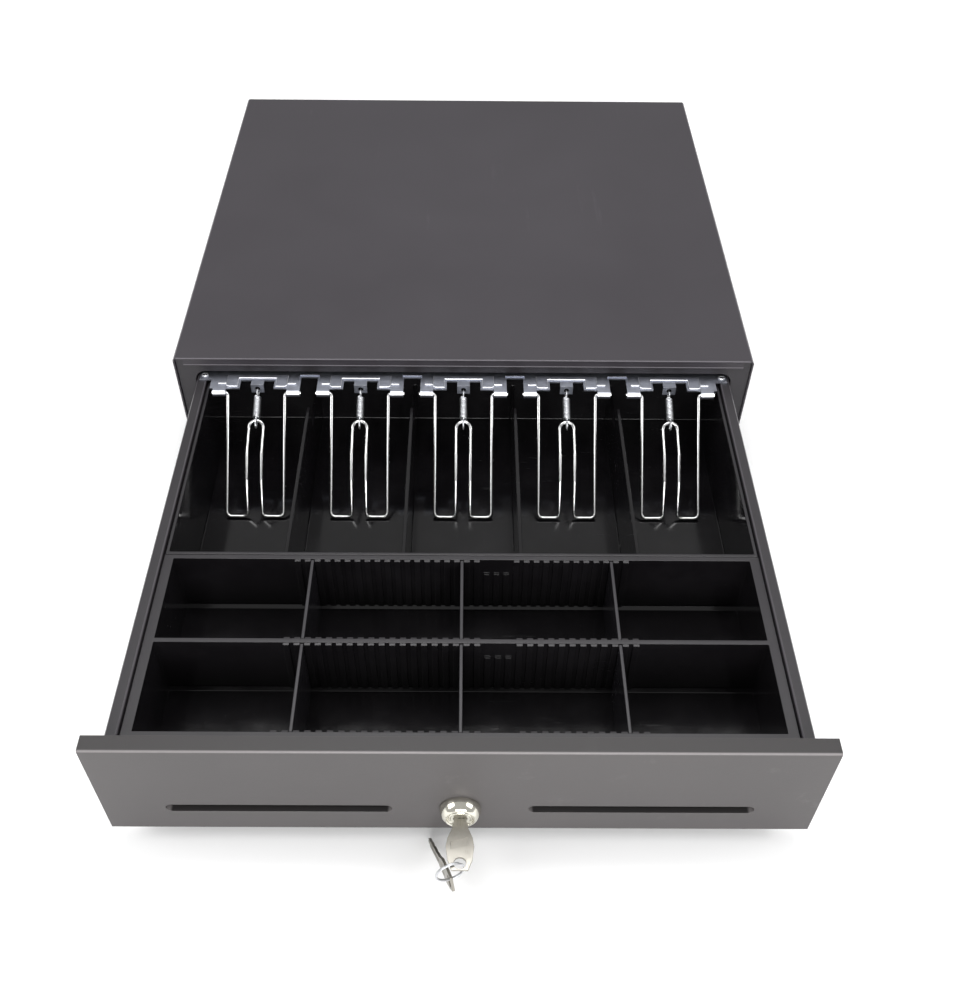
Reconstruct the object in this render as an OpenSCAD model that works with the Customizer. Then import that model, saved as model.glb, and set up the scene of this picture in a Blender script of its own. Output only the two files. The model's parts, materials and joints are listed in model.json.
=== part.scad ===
// Cash drawer: a steel case with a sliding drawer, a till for notes and a lift-out coin tray.
// X is width, Y is depth and Z is height. The drawer is drawn open, and slides along +Y to close.

/* [Case] */
// Width of the case
case_w = 410; // [380:1:450]
// Depth of the case
case_d = 395; // [385:1:450]
// Height of the cover's top above the counter
case_h = 102; // [98:1:120]
// Thickness of the steel sheet
sheet = 1.2; // [1:0.1:1.5]
// Height of a rubber foot
foot_h = 6; // [4:0.5:10]
// Diameter of a rubber foot
foot_d = 18; // [14:1:24]
// Height of the fold along the cover's front edge
lip_h = 6; // [4:0.5:8]
// Rounding of the cover's long edges
cover_r = 2.5; // [2:0.5:4]
// Spacing across of the holes that fasten the case to a counter
mount_x = 300; // [240:10:320]
// Spacing front to back of the holes that fasten the case to a counter
mount_y = 260; // [220:10:280]
// Radius of a hole that fastens the case to a counter
mount_r = 2.6; // [2:0.1:3.5]

/* [Face] */
// Width of the face frame beside the opening
face_side = 13.5; // [13:0.5:18]
// Height of the face frame above the opening
face_top = 12; // [10:0.5:14]
// Corner radius of the opening
face_r = 8; // [4:1:12]

/* [Drawer] */
// How far the drawer opens
travel = 307; // [260:1:310]
// Gap between the opening and the drawer's side
side_gap = 1.8; // [1.5:0.1:2.5]
// Gap between the opening's top and the drawer's top
top_gap = 4; // [3:0.5:6]
// Gap between the case's floor and the drawer's floor
floor_gap = 8.8; // [8:0.1:12]
// Length of the drawer, front wall to rear wall
tray_len = 341; // [330:1:342]
// Width of the folded top of the drawer's side
flange_w = 5.5; // [5.3:0.1:7]
// Depth of the front panel's folded edges
panel_depth = 10; // [8:0.5:14]
// How far the front panel's end stands in from the case's side
panel_side = 6; // [4:0.5:8]
// How far the front panel's top is below the case's top
panel_top = 8; // [7:0.5:10]
// Height of the front panel's bottom edge above the counter
panel_low = 14; // [10:0.5:15]
// Gap between the closed front panel and the face frame
panel_gap = 2; // [1.5:0.1:3]
// Length of a slot for cheques and slips
slot_w = 126; // [100:1:130]
// Height of a slot
slot_h = 7; // [5:0.5:9]
// Distance of a slot's centre from the middle of the panel
slot_x = 101; // [90:1:110]

/* [Rails] */
// Height of a rail
rail_h = 26; // [24:0.5:30]
// Height of the rails' lower edge above the counter
rail_z = 44; // [40:1:48]
// Play of a roller in its rail, above and below
roller_play = 0.3; // [0.2:0.05:0.4]
// Width of a front roller
front_roller_w = 4.4; // [4:0.1:4.6]
// Width of a rear roller
rear_roller_w = 6; // [5:0.5:6]
// Radius of a roller's axle
axle_r = 3; // [2.5:0.1:4]
// Running clearance of an axle or pin in its bore, on the radius
run_gap = 0.06; // [0.03:0.01:0.1]

/* [Tills] */
// Gap between the drawer's walls and the trays in it
insert_gap = 0.5; // [0.3:0.1:1]
// How far the trays' rims are below the drawer's top
rim_drop = 3; // [2:0.5:5]
// Thickness of the plastic walls
plastic = 2; // [1.6:0.1:2.5]
// Width of the coin tray's rim at the sides
coin_rim = 6; // [4:0.5:8]
// Depth of the coin tray, front to back
coin_len = 137.6; // [130:0.2:140]
// Width of the coin tray's front rim
coin_front = 8.4; // [6:0.2:10]
// Length of a front coin cup
cup_front = 61; // [55:1:62]
// Length of a rear coin cup
cup_rear = 62; // [55:1:63]
// Thickness of the wall between the rows of coin cups
cross_wall = 3; // [2.5:0.1:4]
// Height of the coin cups' floor above the counter
cup_floor = 38; // [36:0.5:42]
// Radius of the scoop at the front of a front coin cup
scoop_r = 30; // [24:1:32]
// Spacing of the grooves that hold the coin dividers
groove_pitch = 6.1; // [5.5:0.1:7]
// Depth of a groove
groove_d = 1.5; // [1:0.1:2]
// Thickness of a coin divider
divider_t = 2; // [1.5:0.1:2.2]
// Play of a coin divider in its grooves
divider_play = 0.2; // [0.15:0.05:0.4]
// Height of the floor under the notes, above the counter
bill_floor = 27; // [22:0.5:30]
// Width of one note bay, with its divider
bay_pitch = 73; // [70:0.5:74]
// How far the note bays' dividers are below the trays' rims
bay_drop = 5; // [3:1:10]

/* [Note clips] */
// Radius of the clip's wire
wire_r = 1.15; // [0.9:0.05:1.3]
// Room across a bay that its clip leaves free, for the barrels at its sides
clip_room = 33; // [31:1:39]
// Length of the clip, hinge to bottom wire
clip_len = 87; // [74:1:88]
// Width of the clip's middle loop
loop_w = 10; // [9:0.5:12]
// Length of a hinge barrel on the clip bar
barrel_len = 9; // [7:0.5:10]
// Depth of the clip bar, front to back
bar_d = 22; // [18:1:24]
// Distance from the drawer's rear end to the clip bar's rear edge
bar_back = 25; // [20:1:30]

/* [Lock] */
// Height of the lock above the counter
lock_z = 38; // [36:0.5:40]
// Radius of the lock's front collar
collar_r = 11; // [10:0.5:12]
// How far the lock stands out of the panel
collar_t = 8; // [5:0.5:9]
// Radius of the lock's barrel
barrel_r = 8; // [7:0.5:8.5]
// Radius of the lock's plug
plug_r = 5.5; // [4.5:0.5:6]
// Width of the key's blade
blade_w = 7.2; // [6:0.2:8]
// Thickness of the keys
key_t = 1.6; // [1.4:0.1:1.8]
// Width of the keys' bows
bow_w = 15.5; // [12:0.5:18]
// Radius of the key ring
ring_r = 8; // [7.5:0.5:9]

/* [Hidden] */
$fn = 48;

// sides of the object, mirrored about the middle
SIDES = [-1, 1];

// case, across
half = case_w / 2;
fit = 0.1;
pan_x = half - sheet - 2 * fit;
pan_in = pan_x - sheet;
open_x = half - face_side;
rail_web = pan_in - sheet;
rail_lip = open_x + 0.7;

// case, up
pan_z = foot_h;
pan_top = pan_z + sheet;
open_z = case_h - face_top;

// case, front to back
face_y = sheet + fit;
pan_y = face_y + sheet;
back_y = case_d - sheet;
screw_head = 1.6;
screw_r = 1.7;

// drawer, in its own frame: Y is 0 at the front panel's face
drawer_x = open_x - side_gap;
web_out = drawer_x - flange_w;
web_in = web_out - sheet;
drawer_z = pan_top + floor_gap;
drawer_top = open_z - top_gap;
wall_y = panel_depth - sheet;
rear_y = wall_y + tray_len;
open_y = -(travel + panel_depth + panel_gap);

// the whole object's middle, front to back, with the key in the lock
hole_r = 3.4;
hole_y = -34;
ring_wire = 0.7;
ring_off = ring_r * 0.6875;
ring_drop = sqrt(ring_r * ring_r - ring_off * ring_off);
ring_turn = 20;
spare_z = lock_z - ring_drop - ring_r - 2.2;
spare_tilt = asin((spare_z - 4) / 39.2);
key_front = ring_off * sin(ring_turn) - hole_y + key_t / 2 * sin(ring_turn)
    + cos(ring_turn) * (4 * cos(spare_tilt) + 4.5 * sin(spare_tilt));
mid_y = (case_d + screw_head + open_y - key_front) / 2;

// rails and rollers
roller_r = (rail_h - 2 * sheet) / 2 - roller_play;
roller_z = rail_z + rail_h / 2;
front_roller_y = 16;
rail_y1 = case_d - 12;
rear_roller_y = rear_y + 12;
rail_y0 = rear_roller_y + open_y - roller_r - 0.3 - sheet;
ear_y = rear_roller_y + roller_r;
stop_y = ear_y + open_y + travel + 0.6;
axle_head = 4.5;
front_roller_x = web_out + sheet + 1.4;
rear_roller_x = rail_lip + 0.6;

// trays
tray_x = web_in - insert_gap;
rim_z = drawer_top - rim_drop;
tray_z = drawer_z + sheet;
coin_y0 = wall_y + sheet + 1.6;
coin_y1 = coin_y0 + coin_len;
cup_y0 = coin_y0 + coin_front;
cup_y1 = cup_y0 + cup_front;
cup_y2 = cup_y1 + cross_wall;
cup_y3 = cup_y2 + cup_rear;
cup_x = tray_x - coin_rim;
bill_y0 = coin_y1 + 0.4;
bill_y1 = rear_y - sheet - insert_gap - 0.5;
bill_wall = 2.4;
groove_w = divider_t + 2 * divider_play;
divider_i = [-15, 0, 15];
rib_last = 17;

// clip bar
bar_z = drawer_top;
bar_y1 = rear_y - bar_back;
hinge_r = wire_r + run_gap;
curl_r = wire_r + sheet + 0.1;
hinge_y = bar_y1 - bar_d;
bar_y0 = hinge_y + curl_r;
hinge_z = bar_z + sheet - curl_r;
bend_r = 3.5;
clip_half = (bay_pitch - clip_room) / 2;
clip_slope = asin((hinge_z - bill_floor - wire_r - 0.35) / clip_len);
inner_x = loop_w / 2;
loop_v = 24.5;
tab_y = hinge_y + 6;
tab_z = bar_z - 4.6;
eye_r = 3;
hook_r = wire_r + 1.5;

// latch, behind the closed drawer
pin_y = rear_y + open_y + travel + 12.8;
pivot = [8, pin_y + 28];
hook_z = pan_top + 22;
coil_y = pin_y + 10;
coil_x = 36;

function arc(c, r, a0, a1, n = 6) =
    [for (i = [0:n]) c + r * [cos(a0 + (a1 - a0) * i / n), sin(a0 + (a1 - a0) * i / n)]];

// ---- placing ----

module in_case() { translate([0, -mid_y, 0]) children(); }

module in_drawer() { translate([0, open_y - mid_y, 0]) children(); }

module along_y(y0, y1) { translate([0, y1, 0]) rotate([90, 0, 0]) linear_extrude(y1 - y0) children(); }

module along_x(x0, x1) { translate([x0, 0, 0]) rotate([90, 0, 90]) linear_extrude(x1 - x0) children(); }

module rod_x(x0, x1, r) { translate([x0, 0, 0]) rotate([0, 90, 0]) cylinder(h = x1 - x0, r = r); }

module rod_y(y0, y1, r) { translate([0, y0, 0]) rotate([-90, 0, 0]) cylinder(h = y1 - y0, r = r); }

module block(lo, hi) { translate(lo) cube(hi - lo); }

module both() {
    children();
    mirror([1, 0, 0]) children();
}

// a close-wound coil spring from z = 0 to z = len, as the surface over its turns
module coil(len, r, wire, hollow = true) {
    inner = hollow ? r - 2 * wire : 0;
    turns = floor(len / (2 * wire));
    step = len / turns / 2;
    rotate_extrude($fn = 32) polygon(concat(
        [[inner, 0]],
        [for (i = [0:turns - 1]) for (p = [[r - wire * 0.5, 2 * i * step], [r, (2 * i + 1) * step]]) p],
        [[r - wire * 0.5, len], [inner, len]]));
}

// a quarter, half or whole ring of wire about Z
module bend(radius, wire, angle = 360) {
    rotate_extrude(angle = angle) translate([radius, 0]) circle(r = wire, $fn = 24);
}

// ---- case ----

module cover_profile() {
    r = cover_r;
    t = sheet;
    polygon(concat(
        [[-half, pan_z + 0.5]],
        arc([-half + r, case_h - r], r, 180, 90),
        arc([half - r, case_h - r], r, 90, 0),
        [[half, pan_z + 0.5], [half - t, pan_z + 0.5]],
        arc([half - r, case_h - r], r - t, 0, 90),
        arc([-half + r, case_h - r], r - t, 90, 180),
        [[-half + t, pan_z + 0.5]]));
}

module lip_profile() {
    translate([7 - half, case_h - lip_h]) square([2 * half - 14, lip_h - 0.5]);
}

module screw_places() {
    for (x = [-150, 0, 150]) for (z = [pan_z + 8, case_h - 8]) translate([x, 0, z]) children();
}

module top_cover() {
    color("#504c52") in_case() difference() {
        union() {
            along_y(sheet, case_d) cover_profile();
            along_y(0, sheet) lip_profile();
            along_y(0, sheet) intersection() {
                cover_profile();
                translate([-half, 0]) square([case_w, case_h]);
            }
            block([30 - half, back_y - fit - sheet, case_h - 14], [half - 30, back_y - fit, case_h - sheet]);
        }
        screw_places() rod_y(case_d - 6, case_d + 1, screw_r + 0.1);
    }
}

module pan_profile() {
    polygon([[-pan_x, pan_z], [pan_x, pan_z], [pan_x, case_h - 10], [pan_in, case_h - 10],
        [pan_in, pan_top], [-pan_in, pan_top], [-pan_in, case_h - 10], [-pan_x, case_h - 10]]);
}

module rivet_places() {
    for (y = [0.14, 0.41, 0.7, 1]) translate([0, y * (stop_y + 5), roller_z]) children();
}

module keeper() { block([-10, 6, pan_top], [10, 7.5, drawer_z - 1.4]); }

module base_pan() {
    color("#3a383c") in_case() difference() {
        union() {
            along_y(pan_y, back_y - fit) pan_profile();
            block([-pan_x + 20, back_y - fit - sheet, pan_top], [pan_x - 20, back_y - fit, pan_z + 14]);
            keeper();
        }
        for (x = SIDES) for (y = SIDES)
            translate([x * mount_x / 2, (case_d + y * mount_y) / 2, pan_z - 1]) cylinder(h = 4, r = mount_r);
        both() rivet_places() rod_x(pan_in - 1, pan_x + 1, 2.02);
        screw_places() rod_y(case_d - 6, case_d + 1, screw_r + 0.1);
    }
}

module face_frame() {
    low = drawer_z - 2;
    color("#48454b") in_case() along_y(face_y, pan_y) difference() {
        translate([-pan_x, pan_z + 0.2]) square([2 * pan_x, case_h - sheet - fit - pan_z - 0.2]);
        polygon(concat([[-open_x, low]], arc([-open_x + face_r, open_z - face_r], face_r, 180, 90, 8),
            arc([open_x - face_r, open_z - face_r], face_r, 90, 0, 8), [[open_x, low]]));
    }
}

module back_panel() {
    color("#48454b") in_case() difference() {
        along_y(back_y, case_d) translate([-pan_x, pan_z + 0.2])
            square([2 * pan_x, case_h - sheet - fit - pan_z - 0.2]);
        block([-137, back_y - 1, 21], [-123, case_d + 1, 35]);
        screw_places() rod_y(case_d - 6, case_d + 1, screw_r + 0.1);
    }
}

module rubber_feet() {
    color("#1c1c1d") in_case()
        for (x = SIDES) for (y = [30, case_d - 30]) translate([x * (half - 28), y, 0]) rotate_extrude()
            polygon([[2.5, 1.5], [2.5, 0.6], [3, 0], [foot_d / 2 - 0.8, 0], [foot_d / 2, 0.8],
                [foot_d / 2 - 0.8, foot_h], [0, foot_h], [0, 1.5]]);
}

module cover_screws() {
    color("#2a2a2c") in_case() screw_places() {
        rod_y(case_d - 5, case_d, screw_r);
        translate([0, case_d, 0]) rotate([-90, 0, 0]) difference() {
            cylinder(h = screw_head, r1 = 3.4, r2 = 2.9);
            translate([-0.4, -2, screw_head - 0.8]) cube([0.8, 4, 1]);
            translate([-2, -0.4, screw_head - 0.8]) cube([4, 0.8, 1]);
        }
    }
}

module case_rail_profile() {
    polygon([[pan_in, rail_z], [pan_in, rail_z + rail_h], [rail_lip, rail_z + rail_h],
        [rail_lip, rail_z + rail_h - sheet], [rail_web, rail_z + rail_h - sheet],
        [rail_web, rail_z + sheet], [rail_lip, rail_z + sheet], [rail_lip, rail_z]]);
}

module case_rail() {
    difference() {
        union() {
            along_y(rail_y0, rail_y1) case_rail_profile();
            block([rail_lip, rail_y0, rail_z], [pan_in, rail_y0 + sheet, rail_z + rail_h]);
        }
        rivet_places() rod_x(rail_web - 1, pan_in + 1, 2.02);
    }
}

module case_rail_left() { color("#a9adb2") in_case() mirror([1, 0, 0]) case_rail(); }

module case_rail_right() { color("#a9adb2") in_case() case_rail(); }

module rail_rivets() {
    color("#b8bcc0") in_case() both() rivet_places() rod_x(rail_web, pan_x, 2);
}

// rubber blocks that the rear rollers meet as the drawer closes
module rail_stops() {
    color("#1c1c1d") in_case() both()
        block([rail_lip + 1, stop_y, rail_z + sheet], [rail_web, stop_y + 10, rail_z + rail_h - sheet]);
}

module front_axles() {
    x0 = front_roller_x;
    color("#c2c5c8") in_case() both() translate([0, front_roller_y, roller_z]) {
        rod_x(x0 - 1, x0 - 0.1, axle_head);
        rod_x(x0 - 0.2, x0 + front_roller_w + 0.2, axle_r);
        rod_x(x0 + front_roller_w + 0.1, pan_in, axle_head + 0.5);
    }
}

module roller(x0, w) {
    translate([x0, 0, 0]) rotate([0, 90, 0]) rotate_extrude()
        polygon([[axle_r + run_gap, 0], [roller_r - 0.8, 0], [roller_r, 0.8], [roller_r, w - 0.8],
            [roller_r - 0.8, w], [axle_r + run_gap, w]]);
}

module front_rollers() {
    color("#d8d6cf") in_case() both()
        translate([0, front_roller_y, roller_z]) roller(front_roller_x, front_roller_w);
}

// ---- latch ----

module latch_bracket() {
    color("#a9adb2") in_case() {
        difference() {
            block([-70, pin_y - 14, pan_top], [72, pin_y + 38, pan_top + 1.5]);
            for (x = [-30, 30]) translate([x, pin_y + 30, pan_top - 1]) cylinder(h = 4, r = 2);
        }
        translate([pivot[0], pivot[1], pan_top + 1.4]) {
            cylinder(h = hook_z - pan_top - 1.7, r = 6);
            cylinder(h = hook_z - pan_top + 2.8, r = axle_r);
            translate([0, 0, hook_z - pan_top + 2.8]) cylinder(h = 1.2, r = 4.8);
        }
    }
}

module solenoid_frame() {
    z0 = pan_top + 1.5;
    color("#b9bdc1") in_case() difference() {
        union() {
            block([coil_x - 2, coil_y - 11, z0], [coil_x + 32, coil_y + 11, z0 + 2]);
            block([coil_x - 2, coil_y - 11, z0], [coil_x, coil_y + 11, hook_z + 13]);
            block([coil_x + 30, coil_y - 11, z0], [coil_x + 32, coil_y + 11, hook_z + 13]);
        }
        translate([coil_x - 3, coil_y, hook_z + 1.5]) rod_x(0, 6, 4.25);
    }
}

module solenoid_coil() {
    color("#8c3b22") in_case() translate([coil_x, coil_y, hook_z + 1.5]) rotate([0, 90, 0]) difference() {
        union() {
            cylinder(h = 30, r = 9.4);
            cylinder(h = 1.6, r = 10.6);
            translate([0, 0, 28.4]) cylinder(h = 1.6, r = 10.6);
        }
        translate([0, 0, -1]) cylinder(h = 29, r = 4.25);
    }
}

module solenoid_plunger() {
    color("#cfd1d3") in_case() translate([0, coil_y, hook_z + 1.5]) {
        rod_x(19, 57, 4);
        difference() {
            translate([8, -5, 2.3]) cube([14, 10, 1.6]);
            translate([12, -2, 2]) cylinder(h = 3, r = 1.9);
            translate([12, 2, 2]) cylinder(h = 3, r = 1.9);
            translate([10.1, -2, 2]) cube([3.8, 4, 3]);
        }
    }
}

// the hook catches the striker's pin; its front edge is a ramp that the pin pushes aside
module latch_hook() {
    p = pin_y;
    color("#b9bdc1") in_case() {
        difference() {
            union() {
                translate([0, 0, hook_z]) linear_extrude(3) polygon([[-3.5, p - 3], [-3.5, p - 4.5],
                    [6, p - 10], [15, p - 8.5], [15, p + 28], [4, p + 28], [9, p + 16], [9, p - 3]]);
                translate([pivot[0], pivot[1], hook_z]) cylinder(h = 3.8, r = 7.5);
            }
            translate([pivot[0], pivot[1], hook_z - 1]) cylinder(h = 8, r = axle_r + run_gap);
        }
        translate([12, coil_y, hook_z + 2.9]) cylinder(h = 3.6, r = 1.5);
    }
}

module hook_spring() {
    color("#c9ccd0") in_case() {
        translate([pivot[0], pivot[1], hook_z - 8.5]) coil(8, 8.2, 0.6);
        translate([pivot[0] + 7.6, pivot[1], hook_z - 1.1]) rotate([90, 0, 0]) cylinder(h = 16, r = 0.6);
    }
}

module switch_body() {
    color("#232325") in_case() difference() {
        block([-62, pin_y - 10, pan_top + 1.5], [-42, pin_y, pan_top + 18]);
        for (x = [-57, -47]) translate([x, pin_y - 11, pan_top + 6]) rod_y(0, 12, 1.3);
        block([-61.5, pin_y - 10.5, pan_top + 12], [-42.5, pin_y - 9.5, pan_top + 18.5]);
    }
}

module switch_lever() {
    color("#cfd1d3") in_case() translate([-60, pin_y - 10.6, pan_top + 13]) rotate([0, 0, -3]) {
        cube([18, 0.4, 4]);
        translate([18, -0.3, 0]) cylinder(h = 4, r = 0.8);
    }
}

module ejector_spring() {
    y0 = rear_y + open_y + travel + 0.5;
    color("#c9ccd0") in_case() translate([110, y0, 34]) rotate([-90, 0, 0]) coil(back_y - y0, 8, 1);
}

module data_jack() {
    color("#19191a") in_case() difference() {
        block([-136.9, case_d - 16, 21.1], [-123.1, case_d, 34.9]);
        block([-135.6, case_d - 12, 23], [-124.4, case_d + 1, 31]);
        block([-132, case_d - 12, 30.5], [-128, case_d + 1, 33.5]);
    }
}

// ---- drawer ----

module drawer_profile() {
    s = drawer_top - sheet;
    right = [[web_out, drawer_z], [web_out, s], [drawer_x - sheet, s], [drawer_x - sheet, drawer_top - 8],
        [drawer_x, drawer_top - 8], [drawer_x, drawer_top - 0.8], [drawer_x - 0.8, drawer_top],
        [web_in + 0.8, drawer_top], [web_in, drawer_top - 0.8], [web_in, drawer_z + sheet]];
    polygon(concat(right, [for (i = [len(right) - 1:-1:0]) [-right[i][0], right[i][1]]]));
}

module spacer_places() {
    for (x = [-155, -30, 30, 155]) translate([x, 0, drawer_top - 20]) children();
}

module slot_shape(grow = 0) {
    for (x = [-slot_x, slot_x]) translate([x, lock_z - 1.5]) {
        square([slot_w - slot_h, slot_h + 2 * grow], center = true);
        for (e = SIDES) translate([e * (slot_w - slot_h) / 2, 0]) circle(r = slot_h / 2 + grow);
    }
}

module drawer_tray() {
    color("#302e33") in_drawer() difference() {
        union() {
            along_y(wall_y, rear_y) drawer_profile();
            block([-web_in - 0.1, wall_y, drawer_z], [web_in + 0.1, wall_y + sheet, rim_z - 2]);
            block([-web_in - 0.1, rear_y - sheet, drawer_z], [web_in + 0.1, rear_y, rim_z - 2]);
            both() block([web_in, rear_y - 1, rail_z], [web_out, ear_y, rail_z + rail_h]);
        }
        along_y(wall_y - 1, wall_y + 2) slot_shape(0.5);
        translate([0, 0, lock_z]) rod_y(wall_y - 1, wall_y + 2, barrel_r + 0.1);
        spacer_places() translate([0, wall_y, 0]) rotate([-90, 0, 0])
            cylinder(h = sheet + 0.01, r1 = 2, r2 = 3.6);
        both() translate([0, rear_roller_y, roller_z]) rod_x(web_in - 1, web_out + 1, axle_r + 0.05);
        block([-22, wall_y + 8.5, drawer_z - 1], [7, wall_y + 15, drawer_z + 2]);
    }
}

module front_panel() {
    w = half - panel_side;
    z1 = case_h - panel_top;
    r = 1.5;
    edge = concat([[panel_depth, panel_low]], arc([r, panel_low + r], r, 270, 180),
        arc([r, z1 - r], r, 180, 90), [[panel_depth, z1]]);
    hollow = [[panel_depth + 1, panel_low + sheet], [sheet, panel_low + sheet], [sheet, z1 - sheet],
        [panel_depth + 1, z1 - sheet]];
    color("#6a655f") in_drawer() difference() {
        union() {
            difference() {
                along_x(-w, w) polygon(edge);
                along_x(-w + sheet, w - sheet) polygon(hollow);
            }
            along_y(sheet / 2, sheet + 2.5) slot_shape(0.9);
        }
        along_y(-1, sheet + 3) slot_shape();
        translate([0, 0, lock_z]) rod_y(-1, sheet + 1, barrel_r + 0.1);
    }
}

module panel_spacers() {
    color("#b8bcc0") in_drawer() spacer_places() rotate([-90, 0, 0]) difference() {
        translate([0, 0, sheet]) cylinder(h = wall_y - sheet, r = 4, $fn = 6);
        translate([0, 0, sheet + 1]) cylinder(h = wall_y, r = 1.65);
    }
}

module panel_screws() {
    color("#b8bcc0") in_drawer() spacer_places() {
        rod_y(wall_y - 5, wall_y + 0.1, 1.6);
        translate([0, wall_y, 0]) rotate([-90, 0, 0]) cylinder(h = sheet, r1 = 1.9, r2 = 3.5);
    }
}

module drawer_rail() {
    x1 = drawer_x - 0.3;
    difference() {
        along_y(wall_y + 4, ear_y) polygon([[web_out, rail_z], [x1, rail_z], [x1, rail_z + sheet],
            [web_out + sheet, rail_z + sheet], [web_out + sheet, rail_z + rail_h - sheet],
            [x1, rail_z + rail_h - sheet], [x1, rail_z + rail_h], [web_out, rail_z + rail_h]]);
        translate([0, rear_roller_y, roller_z]) rod_x(web_out - 1, web_out + 3, axle_r + 0.05);
    }
}

module drawer_rail_left() { color("#a9adb2") in_drawer() mirror([1, 0, 0]) drawer_rail(); }

module drawer_rail_right() { color("#a9adb2") in_drawer() drawer_rail(); }

module rear_axles() {
    x1 = rear_roller_x + rear_roller_w;
    color("#c2c5c8") in_drawer() both() translate([0, rear_roller_y, roller_z]) {
        rod_x(web_in - 1, web_in, axle_head);
        rod_x(web_in - 0.5, x1 + 0.3, axle_r);
        rod_x(web_out + sheet, rear_roller_x - 0.1, axle_head + 0.5);
        rod_x(x1 + 0.1, x1 + 1.2, axle_head);
    }
}

module rear_rollers() {
    color("#d8d6cf") in_drawer() both()
        translate([0, rear_roller_y, roller_z]) roller(rear_roller_x, rear_roller_w);
}

module striker() {
    z = hook_z + 11;
    y = rear_y + 12.8;
    color("#b9bdc1") in_drawer() {
        block([-8, rear_y, z], [8, y + 4, z + 1.5]);
        block([-8, rear_y, z], [8, rear_y + 1.5, z + 20]);
        translate([0, y, hook_z - 5]) cylinder(h = z - hook_z + 6, r = 2.5);
    }
}

// ---- lock and keys ----

module lock_body() {
    b = plug_r + run_gap;
    end = wall_y + sheet + 9.4;
    color("#d6d6d2") in_drawer() translate([0, 0, lock_z]) rotate([-90, 0, 0]) rotate_extrude()
        polygon(concat([[b, end], [b, -collar_t + 1.2], [collar_r - 3.4, -collar_t + 1.2],
            [collar_r - 2.6, -collar_t]], arc([collar_r - 2.6, -collar_t + 2.6], 2.6, 270, 360, 5),
            [[collar_r, 0], [barrel_r, 0], [barrel_r, end]]));
}

module lock_nut() {
    y = wall_y + sheet;
    color("#b8bcc0") in_drawer() translate([0, y, lock_z]) rotate([-90, 0, 0]) difference() {
        cylinder(h = 3, r = 12.7, $fn = 6);
        translate([0, 0, -1]) cylinder(h = 5, r = barrel_r + 0.05);
    }
}

module lock_plug() {
    end = wall_y + sheet + 9.5;
    color("#c9c9c4") in_drawer() translate([0, 0, lock_z]) difference() {
        union() {
            rod_y(-collar_t + 0.8, end, plug_r);
            rod_y(end - 0.1, end + 3.4, axle_r);
        }
        block([-blade_w / 2 - 0.3, -collar_t, -key_t / 2 - 0.2], [blade_w / 2 + 0.3, 12, key_t / 2 + 0.2]);
    }
}

// turned down, the cam stands behind the keeper on the case's floor
module lock_cam() {
    y = wall_y + sheet + 9.7;
    color("#a9adb2") in_drawer() translate([0, y, lock_z]) rotate([-90, 0, 0]) difference() {
        union() {
            cylinder(h = 2, r = 6.5);
            translate([pan_top + 2.5 - lock_z, -5, 0]) cube([lock_z - pan_top - 2.5, 10, 2]);
        }
        translate([0, 0, -1]) cylinder(h = 4, r = axle_r + 0.02);
    }
}

// a key lying flat, its blade towards +Y, with the hole in its bow at the origin
module key_blank(neck, blade) {
    w = bow_w / 2;
    translate([0, 0, -key_t / 2]) linear_extrude(key_t) difference() {
        polygon([[-4.5, -4], [4.5, -4], [w - 1, 2], [w, 10], [w - 0.8, neck - 6], [blade_w / 2 + 0.8, neck],
            [blade_w / 2 + 0.8, neck + 3.4], [blade_w / 2, neck + 3.4], [blade_w / 2, neck + blade - 3],
            [1, neck + blade], [-1, neck + blade], [-blade_w / 2 + 1.2, neck + blade - 3],
            [-blade_w / 2 + 1.2, neck + blade - 6], [-blade_w / 2 + 0.2, neck + blade - 8],
            [-blade_w / 2 + 1.6, neck + blade - 11], [-blade_w / 2, neck + blade - 13],
            [-blade_w / 2, neck + 3.4], [-blade_w / 2 - 0.8, neck + 3.4], [-blade_w / 2 - 0.8, neck],
            [-w + 0.8, neck - 6], [-w, 10], [-w + 1, 2]]);
        circle(r = hole_r);
    }
}

neck_len = -collar_t - 5 - hole_y;

module key() {
    color("#c9c6b8") in_drawer() translate([0, hole_y, lock_z]) key_blank(neck_len, 22);
}

module key_ring() {
    color("#d0d0cc") in_drawer() translate([0, hole_y, lock_z]) rotate([0, 0, ring_turn])
        translate([-ring_off, 0, -ring_drop]) rotate([90, 0, 0]) bend(ring_r, ring_wire);
}

module spare_key() {
    color("#c9c6b8") in_drawer() translate([0, hole_y, spare_z]) rotate([0, 0, ring_turn])
        translate([-ring_off, 0, 0]) rotate([-spare_tilt, 0, 0]) rotate([0, 90, 0])
            key_blank(18, 24);
}

// ---- trays ----

module coin_row(y0, y1, r) {
    along_x(-cup_x, cup_x) polygon(concat([[y0, rim_z + 1]], [[y0, cup_floor + r]],
        arc([y0 + r, cup_floor + r], r, 180, 270, 10),
        [[y1 - 2, cup_floor], [y1, cup_floor + 2], [y1, rim_z + 1]]));
}

// ridges along a wall; wall is the Y of its face and dir the side that they stand on
module ridges(wall, dir, z0) {
    w = groove_pitch - groove_w;
    for (i = [-rib_last:rib_last]) {
        low = i >= 2 && i <= 4;
        x = (i + 0.5) * groove_pitch;
        if (i < rib_last)
            translate([x - w / 2, min(wall, wall + dir * groove_d), z0])
                cube([w, groove_d, rim_z - z0 - (low ? 12 : 0.6)]);
    }
}

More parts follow.
